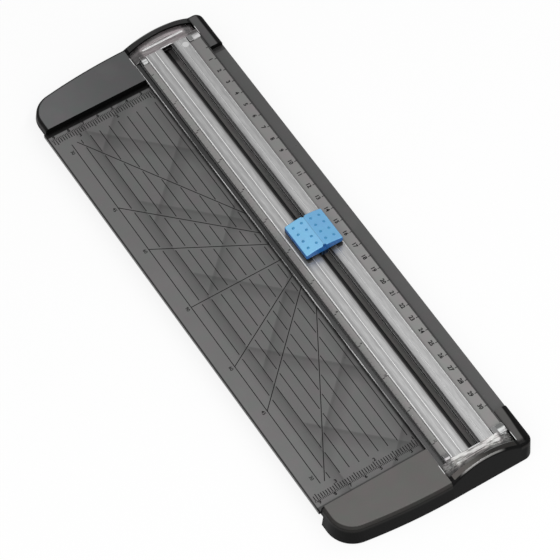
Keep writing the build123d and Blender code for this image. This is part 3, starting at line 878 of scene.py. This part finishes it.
def tab_tone(x, y, streak):
    """Colour of the tabs: a painted white highlight on their near half, and grey on the inner side of the
    right ones.
    """
    lit = fade(y - calc("SIGN", y) * tab_middle, 0.7, -0.5)
    white = mix(lit, grey(0.17), mix(streak, grey(0.60), grey(0.98)))
    clear = right_side(x) * fade(x, tab_corner + 0.6, tab_corner)
    return mix(clear, white, grey(0.26))


def tab_place(x, along, near):
    """1 on the tabs, and on the strip of the near flat beside the right one."""
    tab = fade(along, rail_end, rail_end - 0.4)
    beside = near * fade(along, rail_end + 2.0, rail_end + 1.6)
    return tab | beside * band(x, tab_corner, tab_corner + 0.6, metric_high.x - 1.0, metric_high.x - 0.6)


print("cap's arched wall stands at", round(wall_place, 2))


# %% Cap finish
def cap_finish():
    """Frosted clear plastic with painted highlights on its lines, edges and tabs, painted shade in its
    corners and slot, and painted light at the near end.
    """
    material, tree, shader = new_material("clear_cap")
    x, y, z = millimetres(tree)
    aside = abs(x - cut_line)
    along = abs(y)
    near = near_share(y)
    streak = fade(noise((x * 0.12, y, z), 0.9, 2.0), 0.38, 0.62)
    behind = fade(along, wall_place - 0.1, wall_place)
    flat = streaked(near, streak, far_flat, near_flat)
    frost_and_painted_light = mix(behind, flat, arch_tone(along, near, streak))
    # painted shade in the corners beside the cap
    frost_and_painted_light = darken(fade(aside, cap_half, cap_half + 2.0, 0.0, 0.72), frost_and_painted_light)
    frost_and_painted_light = mix(tab_place(x, along, near), frost_and_painted_light, tab_tone(x, y, streak))
    in_slot = fade(aside, slot_half + 0.2, slot_half - 0.2)
    in_slot = in_slot * fade(z, flat_level - 0.1, flat_level - 0.2)
    # painted shade in the slot
    frost_and_painted_light = darken(in_slot * 0.95, frost_and_painted_light)
    skin = moulded(shader, frost_and_painted_light, cloud=0.08, grain=0.6, roughness=0.20, drift=0.10)
    edge = relief(shader, skin["Height"], 0.004, 0.5) * fade(in_slot, 0.0, 1.0, 0.6, 0.0)
    # painted highlights on the cap's lines and edges
    bright = cap_lines(z, aside, along) | edge
    paint(shader, mix(bright, skin["Colour"], grey(1.0)), skin["Roughness"])
    shader.inputs["Transmission Weight"].default_value = 0.3
    shader.inputs["IOR"].default_value = 1.49
    return material


frosted_cap = cap_finish()
print("caps get", frosted_cap.name, "with", len(frosted_cap.node_tree.nodes), "nodes")

# %% [markdown]
# ## Silver runners
# The carriage slides on two aluminium strips. Rolling leaves fine lines along their length, so light
# smears across them. Noise that is stretched along the trimmer gives those lines, in colour, polish and
# relief. Bands of painted light and shade run along each strip too: the lists give their tones, from the
# strip's left edge on. The groove carries a painted highlight, and the far end painted shade.

# %% Runner finish
# Tones across each strip, with painted light and shade, from the strip's left edge
left_tones = [(0.0, 0.31), (1.0, 0.33), (2.2, 0.455), (3.7, 0.42), (4.9, 0.345), (6.7, 0.40), (7.7, 0.475),
              (8.7, 0.41), (9.5, 0.33), (10.3, 0.29)]
right_tones = [(0.0, 0.26), (0.6, 0.315), (1.4, 0.375), (2.4, 0.45), (3.9, 0.42), (5.4, 0.435), (6.6, 0.37),
               (7.8, 0.41)]
line_gain = 1.18            # makes up for what the lines and scratches take away
right_runner_left = span("right_runner")[0].x
rivet_x, rivet_y, rivet_radius = 41.4, 160.8, 2.2


def runner_tones():
    """Tones of both strips, by their place across the trimmer."""
    tones = []
    for edge, strip_tones in ((runner_low.x, left_tones), (right_runner_left, right_tones)):
        tones += [(edge + place, tone * line_gain) for place, tone in strip_tones]
    return tones


def rivet_mask(x, y):
    """1 on the rivet head at the far end of the right strip."""
    across = x - rivet_x
    along = y - rivet_y
    return fade(calc("SQRT", across * across + along * along), rivet_radius, rivet_radius - 0.3)


def runner_finish():
    """Satin aluminium with lengthwise lines, painted bands of light and shade, a painted highlight in the
    groove, and a rivet head at the far end.
    """
    material, tree, shader = new_material("runner_aluminium_lines")
    x, y, z = millimetres(tree)
    lines = place_group(tree, drawn_lines, Spacing=0.5, Stretch=0.003)
    scratches = place_group(tree, drawn_lines, Spacing=0.4, Stretch=0.06)
    plain = tones_across(x, runner_tones())
    plain = darken(fade(lines["Tone"], 0.25, 0.75, 0.14, 0.0), plain)
    plain = darken(fade(scratches["Tone"], 0.25, 0.75, 0.24, 0.0), plain)
    # painted shade towards the far end
    plain = darken(fade(y, -table_end, table_end, 0.0, 0.13), plain)
    # painted highlight in the groove, brighter on the left strip
    groove = fade(z, runner_high.z - 0.05, runner_high.z - 0.15)
    bright = mix(groove, plain, mix(right_side(x), grey(0.86), grey(0.62)))
    polish = fade(lines["Tone"], 0.2, 0.8, 0.46, 0.34)
    paint(shader, mix(rivet_mask(x, y), bright, grey(0.54)), polish)
    shader.inputs["Metallic"].default_value = 1.0
    relief(shader, lines["Height"], 0.012, 0.15)
    return material


keep_finish("runner_aluminium", runner_finish())

# %% [markdown]
# ## Printed scale strips
# Light warm grey strips carry the ruler. They are matt film, so they only cloud slightly and pick up
# dust. The ridge and the lip beside them throw a soft shade on the film, which is painted, as is a dark
# line along its outer edge, and the right strip is painted dimmer towards the far end.


# %% Scale strip finish
def film_shade(x, right, far):
    """Painted shade at the strips' edges: the outer edge, beside the ridge and beside the lip."""
    outer = fade(x, metric_high.x - 1.05, metric_high.x - 0.7, 0.0, 0.92)
    beside_ridge = fade(x, metric_low.x, metric_low.x + 1.6, 0.35, 0.0) * right
    beside_lip = fade(x, inch_low.x, inch_high.x, 0.25, 0.0)
    beside_lip = beside_lip * fade(far, 0.0, 1.0, 1.0, 0.2) * fade(right, 1.0, 0.0)
    return (outer | beside_ridge) + beside_lip


def scale_film_finish():
    """Matt light grey film, with painted shade at its edges and towards the far end of the right strip."""
    material, tree, shader = new_material("scale_film_grey")
    x, y, _ = millimetres(tree)
    right = right_side(x)
    far = fade(y, -0.3 * table_end, table_end)
    # painted shade: the right strip dims towards the far end
    film = darken(right * far * 0.20, grey(0.218, 0.02))
    film = darken(film_shade(x, right, far), film)
    skin = moulded(shader, film, cloud=0.05, grain=0.2, roughness=0.6, drift=0.08)
    dusted(shader, skin, 0.3)
    relief(shader, skin["Height"], 0.002, 0.1)
    return material


keep_finish("scale_film", scale_film_finish())

# %% [markdown]
# ## Blue press head
# The head is a satin sky blue moulding. Its right half, its upright faces, its grip bumps, its end
# notches and the faces below its skirt carry painted shade in deeper blues. The bumps stand over the
# arched top, and the arch is a known curve, so a point's height over it tells bump from top.

# %% Blue plastic finish
sky_blue = (0.205, 0.485, 0.735, 1.0)
shade_blue = (0.155, 0.40, 0.66, 1.0)
deep_shade_blue = (0.015, 0.11, 0.34, 1.0)
bump_shade_blue = (0.05, 0.25, 0.45, 1.0)
pale_blue = (0.36, 0.62, 0.86, 1.0)
head_high = span("left_housing")[1]
crown_level = head_high.z - 0.39
skirt_level = crown_level - 4.75
arch_radius = 43.6
seam_half_width = 0.25


def blue_tone(x, y, z, upward):
    """Blue of each face, with painted shade on the right half of the top, the bumps, the upright faces, the
    end notches and below the skirt, and a dark seam.
    """
    aside = x - cut_line
    over = z - crown_level + aside * aside * (0.5 / arch_radius)
    # painted shade: the right half of the top, the upright faces, the bumps and the end notches
    top_blue = mix(fade(aside, -1.0, 1.0), sky_blue, shade_blue)
    plain = mix(fade(upward, 0.35, 0.92), deep_shade_blue, top_blue)
    plain = mix(fade(over, 0.08, 0.2), plain, bump_shade_blue)
    notch = fade(abs(y), head_high.y - 1.9, head_high.y - 1.6) * fade(over, -0.3, -0.6)
    plain = mix(notch, plain, deep_shade_blue)
    seam = fade(abs(aside), seam_half_width, seam_half_width / 2, 0.0, 0.35)
    # painted shade below the skirt
    below = fade(z, skirt_level, skirt_level - 0.3, 0.0, 0.93)
    return darken(seam | below, plain)


def blue_finish():
    """Satin blue with painted shade on the bumps and upright faces, paler on its edges."""
    material, tree, shader = new_material("blue_satin")
    plain = blue_tone(*millimetres(tree), facing(tree)[2])
    skin = moulded(shader, plain, cloud=0.05, grain=0.18, roughness=0.42, drift=0.06)
    edge = relief(shader, skin["Height"], 0.006, 0.25)
    paint(shader, mix(edge * 0.3, skin["Colour"], pale_blue), skin["Roughness"])
    shader.inputs["Specular IOR Level"].default_value = 0.3
    return material


keep_finish("blue_plastic", blue_finish())

# %% [markdown]
# ## Cutting mat
# Under the slot lies a dull brown grey strip with a groove, in which the blade runs. The groove is
# painted black, as painted shade, and the ends under the caps are painted darker. Use scores it along
# its length, so the drawn lines serve here too, as darker scratches.


# %% Mat finish
def mat_finish():
    """Dull brown grey strip with painted shade in its cutting groove and at its ends under the caps."""
    material, tree, shader = new_material("mat_brown_grey")
    _, y, z = millimetres(tree)
    groove = fade(z, mat_high.z - 0.05, mat_high.z - 0.2)
    brown = mix(far_share(y), grey(0.100, 0.03), grey(0.122, 0.02))
    # painted shade in the cutting groove
    plain = mix(groove, brown, grey(0.016))
    # painted shade at the ends, under the caps
    plain = darken(fade(y, table_end + 2.0, table_end + 6.0, 0.0, 0.6), plain)
    skin = moulded(shader, plain, cloud=0.08, grain=0.3, roughness=0.55, drift=0.08)
    lines = place_group(tree, drawn_lines, Spacing=0.4, Stretch=0.02)
    scored = mix(fade(lines["Tone"], 0.55, 0.75, 0.0, 0.35), skin["Colour"], grey(0.02))
    paint(shader, scored, skin["Roughness"])
    shader.inputs["Specular IOR Level"].default_value = 0.2
    relief(shader, skin["Height"], 0.01, 0.2)
    return material


keep_finish("mat_plastic", mat_finish())

# %% [markdown]
# ## Plain plastics, rubber and steels
# The smaller pieces share two recipes. One is for dull mouldings such as the shoe, the bush and the
# feet. The other is for steel, with drawn lines in its polish. Only their values differ, so each is one
# function that is called once for each finish.


# %% Dull mouldings
def shaded(colour, factor):
    """A colour made paler or darker by a factor."""
    return tuple(min(1.0, channel * factor) for channel in colour[:3]) + (1.0,)


def dull_finish(name, colour, roughness, grain, depth, gloss=0.3):
    """A dull moulding with a grain, slightly paler on its edges."""
    material, _, shader = new_material(name)
    shader.inputs["Specular IOR Level"].default_value = gloss
    skin = moulded(shader, colour, cloud=0.08, grain=grain, roughness=roughness, drift=0.08)
    edge = relief(shader, skin["Height"], depth, 0.2)
    paint(shader, mix(edge * 0.4, skin["Colour"], shaded(colour, 1.6)), skin["Roughness"])
    return material


dull_mouldings = {          # name, colour, roughness, size and depth of the grain
    "shoe_plastic": ("shoe_black", grey(0.012), 0.45, 0.25, 0.006),
    "bush_plastic": ("bush_ivory", (0.70, 0.68, 0.62, 1.0), 0.40, 0.25, 0.004),
    "foot_rubber": ("foot_black_rubber", grey(0.02), 0.80, 0.30, 0.020),
}
for slot, values in dull_mouldings.items():
    keep_finish(slot, dull_finish(*values))


# %% Steels
def steel_finish(name, colour, polish, line_spacing):
    """Drawn or ground steel."""
    material, tree, shader = new_material(name)
    lines = place_group(tree, drawn_lines, Spacing=line_spacing, Stretch=0.02)
    roughness = fade(lines["Tone"], 0.2, 0.8, polish + 0.1, polish)
    paint(shader, mix(lines["Tone"], shaded(colour, 0.8), colour), roughness)
    shader.inputs["Metallic"].default_value = 1.0
    relief(shader, lines["Height"], 0.004, 0.15)
    return material


steels = {                  # name, colour, polish and spacing of the lines
    "steel": ("screw_steel", grey(0.62), 0.28, 0.30),
    "spring_steel": ("spring_wire", grey(0.55), 0.25, 0.20),
    "blade_steel": ("blade_ground_steel", grey(0.70), 0.18, 0.15),
}
for slot, values in steels.items():
    keep_finish(slot, steel_finish(*values))

# %% [markdown]
# ## Dressing the solids
# Each solid keeps its mesh and only gets another material in its slot. The caps are made of the rail's
# clear plastic, but frosted, so they get their own finish last.

# %% Give each solid its finish
for subpart in record["subparts"]:
    nodes[subpart["node"]].material_slots[0].material = finishes[subpart["material_slot"]]
for cap in ("near_end_cap", "far_end_cap"):
    nodes[cap].material_slots[0].material = frosted_cap
print("dressed", len(record["subparts"]), "solids")

# %% [markdown]
# ## Springs
# Two springs hold the rail up and two hold the head up. A solid coil can't shorten, so it would cut
# into the cap or the head when that comes down. Each is replaced by a coil of round wire, swept along a
# helix ring by ring, that rides on the body of its solid. The record says which end is fixed and how far
# the joint goes, and from these the share of its length that a coil would keep is worked out.


# %% Helper for new pieces
def add_piece(name, mesh, material, body):
    """Makes a piece from a mesh in progress and lets it ride on a body."""
    bmesh.ops.remove_doubles(mesh, verts=mesh.verts, dist=0.001 * MM)
    data = bpy.data.meshes.new(name)
    mesh.to_mesh(data)
    mesh.free()
    data.materials.append(material)
    piece = bpy.data.objects.new(name, data)
    bpy.context.scene.collection.objects.link(piece)
    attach(piece, body)
    print(name, "faces", len(data.polygons))
    return piece


def body_of(node):
    """Name of the body that carries a solid."""
    return next(name for name, members in record["behaviour"]["bodies"].items() if node in members)


# %% Coil of round wire
wire_sides = 8
rings_per_turn = 20


def wire_ring(mesh, centre, outward, way, wire):
    """A ring of points round the wire's centre line."""
    across = way.cross(outward)
    ring = []
    for side in range(wire_sides):
        angle = 2 * math.pi * side / wire_sides
        point = centre + (outward * math.cos(angle) + across * math.sin(angle)) * wire / 2
        ring.append(mesh.verts.new(point * MM))
    return ring


def coil_spring(node, wire, turns):
    """Round wire along a helix that fills the box of a solid."""
    low, high = span(node)
    middle = (low + high) / 2
    radius = (high.y - low.y - wire) / 2
    rise = high.z - low.z - wire
    climb = rise / turns / (2 * math.pi)
    steps = turns * rings_per_turn
    mesh = bmesh.new()
    rings = []
    for step in range(steps + 1):
        angle = 2 * math.pi * step / rings_per_turn
        outward = Vector((math.cos(angle), math.sin(angle), 0.0))
        way = Vector((-radius * math.sin(angle), radius * math.cos(angle), climb)).normalized()
        centre = Vector((middle.x, middle.y, low.z + wire / 2 + rise * step / steps)) + outward * radius
        rings.append(wire_ring(mesh, centre, outward, way, wire))
    for ring, after in zip(rings, rings[1:]):
        for a in range(wire_sides):
            b = (a + 1) % wire_sides
            mesh.faces.new((ring[a], ring[b], after[b], after[a])).smooth = True
    mesh.faces.new(rings[0][::-1])
    mesh.faces.new(rings[-1])
    return mesh


print("a turn takes", rings_per_turn * wire_sides, "faces")

# %% Replace the springs
spring_wires = {"rail_clamp": (0.5, 4), "head_press": (0.45, 3)}        # wire and turns, by joint

for joint in record["behaviour"]["joints"]:
    for soft in joint.get("deforming_nodes", []):
        node = soft["node"]
        coil = coil_spring(node, *spring_wires[joint["name"]])
        piece = add_piece(node + "_coil", coil, finishes["spring_steel"], body_of(node))
        fixed_end = soft["fixed_end_z_m"]
        travel = joint["range_m"][1] - joint["range_m"][0]
        keep = 1 - travel / (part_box(node)[1].z - fixed_end)
        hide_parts(node)
        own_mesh(piece)
        print(node, "keeps", round(keep, 2), "of its length")

# %% [markdown]
# ## Ink
# The table and the rail carry printed lines and numbers. They could be painted by a texture, but a thin
# slab of ink keeps its sharp edge at any distance. Each slab starts just inside the plastic and ends
# just above it, so no print floats. The helpers below draw a straight bar and a number.

# %% Helpers for ink
ink_rise = 0.02
ink_bed = 0.01
digit_share = 0.72          # height of a digit, as a share of the type size
ink = dull_finish("print_ink", grey(0.006), roughness=0.5, grain=0.15, depth=0.002, gloss=0.1)


def ink_bar(mesh, start, stop, width, level):
    """A straight bar of ink between two points of a level face."""
    start, stop = Vector(start), Vector(stop)
    side = (stop - start).normalized().orthogonal() * width / 2
    corners = [start - side, stop - side, stop + side, start + side]
    low = [mesh.verts.new((x * MM, y * MM, (level - ink_bed) * MM)) for x, y in corners]
    high = [mesh.verts.new((x * MM, y * MM, (level + ink_rise) * MM)) for x, y in corners]
    mesh.faces.new(high)
    mesh.faces.new(low[::-1])
    for a, b in zip(range(4), (1, 2, 3, 0)):
        mesh.faces.new((low[a], low[b], high[b], high[a]))


def ink_number(mesh, text, place, height, level, angle=-90.0, weight=0.05):
    """A number of a given digit height and extra weight, centred on a point of a level face and turned."""
    curve = bpy.data.curves.new("number", "FONT")
    curve.body = str(text)
    curve.size = height / digit_share * MM
    curve.align_x = "CENTER"
    curve.align_y = "CENTER"
    curve.resolution_u = 3
    curve.offset = weight * MM
    curve.extrude = (ink_rise + ink_bed) / 2 * MM
    holder = bpy.data.objects.new("number", curve)
    slab = bpy.data.meshes.new_from_object(holder)
    middle = Vector((place[0], place[1], level + (ink_rise - ink_bed) / 2)) * MM
    slab.transform(Matrix.Translation(middle) @ Matrix.Rotation(math.radians(angle), 4, "Z"))
    mesh.from_mesh(slab)
    bpy.data.objects.remove(holder)
    bpy.data.curves.remove(curve)
    bpy.data.meshes.remove(slab)


print("ink stands", ink_rise, "mm proud")

# %% [markdown]
# ## Lines on the table
# Long lines run a quarter inch apart, counted from the cut. Seven lines fan out from the middle of the
# cut, for square and slanted cuts. Where one of these crosses, a long line leaves a small gap.

# %% Fan of angles
grid_reach = 137.5
fan_middle = 0.7
fan_left = cut_line - 82.4
fan_right = rail_low.x - 0.3
fan_slopes = {"30": 60.0, "45": 45.0, "60": 30.0, "90": 0.0}


def fan_angles():
    """Each line of the fan: its number and its angle from straight across."""
    for text, angle in fan_slopes.items():
        yield text, angle
        if angle:
            yield text, -angle


def fan_place(x, angle):
    """Where a line of the fan passes, along the trimmer."""
    return fan_middle + (cut_line - x) * math.tan(math.radians(angle))


def fan_end(angle):
    """Left end of a line of the fan."""
    if not angle:
        return fan_left
    run = (grid_reach - math.copysign(fan_middle, angle)) / abs(math.tan(math.radians(angle)))
    return max(fan_left, cut_line - run)


def grid_breaks(x):
    """Places where the fan crosses a long line."""
    return sorted(fan_place(x, angle) for _, angle in fan_angles() if x > fan_end(angle))


print("lines in the fan:", len(list(fan_angles())))

# %% Cutting guide lines
quarter_inch = 6.35
grid_first, grid_last = 4, 13
grid_width = 0.48
fan_width = 0.50
crossing_gap = 1.7
number_column = fan_left - 2.6
number_reach = grid_reach - 5.5
number_height = 2.1

lines = bmesh.new()
for step in range(grid_first, grid_last + 1):
    x = cut_line - step * quarter_inch
    start = -grid_reach
    for crossing in grid_breaks(x) + [grid_reach + crossing_gap]:
        stop = min(crossing - crossing_gap, grid_reach)
        if stop - start > crossing_gap:
            ink_bar(lines, (x, start), (x, stop), grid_width, table_top)
        start = crossing + crossing_gap
for text, angle in fan_angles():
    left_end = (fan_end(angle), fan_place(fan_end(angle), angle))
    right_end = (fan_right, fan_place(fan_right, angle))
    ink_bar(lines, left_end, right_end, fan_width, table_top)
    row = max(-number_reach, min(number_reach, fan_place(fan_left, angle)))
    ink_number(lines, text, (number_column, row), number_height, table_top)
add_piece("table_guide_lines", lines, ink, "base")

# %% [markdown]
# ## Scales across the table
# A scale crosses the table at each end, counted from the cut. Its inner side is a ladder of sixteenths
# of an inch and its outer side a ladder of millimetres, each with its own numbers. The two ladders meet
# on one row.

# %% Cross scales
inch = 25.4
centimetre = 10.0
scale_row = 145.4
scale_left = table_left + 1.6
scale_right = cut_line - 23.5
inch_ladder = {"pitch": inch / 16, "width": 0.52, "lengths": (3.0, 3.9), "long_every": 8}
metric_ladder = {"pitch": 1.0, "width": 0.36, "lengths": (1.3, 1.7), "long_every": 10}
cross_number_height = 2.1
cross_number_weight = 0.12
metric_gap = 2.1            # from the row to the middle of the numbers
inch_gap = 4.6


def cross_ladder(mesh, row, toward, pitch, width, lengths, long_every):
    """Ticks across the table, away from a row, of which every so many is a long one."""
    short, long = lengths
    first = math.ceil((cut_line - scale_right) / pitch)
    last = math.floor((cut_line - scale_left) / pitch)
    for step in range(first, last + 1):
        x = cut_line - step * pitch
        length = short if step % long_every else long
        ink_bar(mesh, (x, row), (x, row + toward * length), width, table_top)


def cross_numbers(mesh, row, values, unit, shift):
    """Upright numbers on a row, each shifted a little to the right of its tick."""
    for value in values:
        place = (cut_line - value * unit + shift, row)
        ink_number(mesh, value, place, cross_number_height, table_top, 0.0, cross_number_weight)


scales = bmesh.new()
for end in (-1, 1):
    cross_ladder(scales, end * scale_row, -end, **inch_ladder)
    cross_ladder(scales, end * scale_row, end, **metric_ladder)
    cross_numbers(scales, end * (scale_row + metric_gap), range(3, 10), centimetre, shift=1.0)
    cross_numbers(scales, end * (scale_row - inch_gap), range(1, 4), inch, shift=1.6)
add_piece("table_cross_scales", scales, ink, "base")

# %% [markdown]
# ## Ruler on the rail
# The right strip is a ruler of 30 centimetres, and the left strip counts inches. The numbers are turned
# to be read from the right. The whole units have bold ticks and the small ones fine ticks, as on any
# ruler.

# %% Rail scales
ruler_zero = 152.4
number_lead = 1.1
fine_tick, bold_tick = 0.12, 0.45
metric_ticks = {"count": 305, "pitch": 1.0, "lengths": (0.7, 1.1, 1.9), "half": 5, "whole": 10}
metric_numbers = {"count": 30, "unit": centimetre, "height": 2.5, "weight": 0.13}
inch_ticks = {"count": 96, "pitch": inch / 8, "lengths": (0.7, 1.0, 1.5), "half": 4, "whole": 8}
inch_numbers = {"count": 12, "unit": inch, "height": 1.4, "weight": 0.05}


def ladder(mesh, column, toward, level, count, pitch, lengths, half, whole):
    """A row of ticks along the rail, from the ruler's zero, with the whole units bold."""
    short, middle, long = lengths
    for step in range(count + 1):
        length, width = short, fine_tick
        if step % whole == 0:
            length, width = long, bold_tick
        elif step % half == 0:
            length = middle
        y = ruler_zero - step * pitch
        ink_bar(mesh, (column, y), (column + toward * length, y), width, level)


def ladder_numbers(mesh, column, level, count, unit, height, weight):
    """Numbers along the rail, turned to be read from the right, each a little before its tick."""
    for value in range(1, count + 1):
        y = ruler_zero - value * unit + number_lead
        ink_number(mesh, value, (column, y), height, level, weight=weight)


ruler = bmesh.new()
ladder(ruler, metric_high.x - 0.2, -1, metric_high.z, **metric_ticks)
ladder_numbers(ruler, metric_high.x - 4.3, metric_high.z, **metric_numbers)
ladder(ruler, inch_low.x + 0.1, 1, inch_high.z, **inch_ticks)
ladder_numbers(ruler, inch_low.x + 2.5, inch_high.z, **inch_numbers)
add_piece("rail_scales", ruler, ink, "rail")
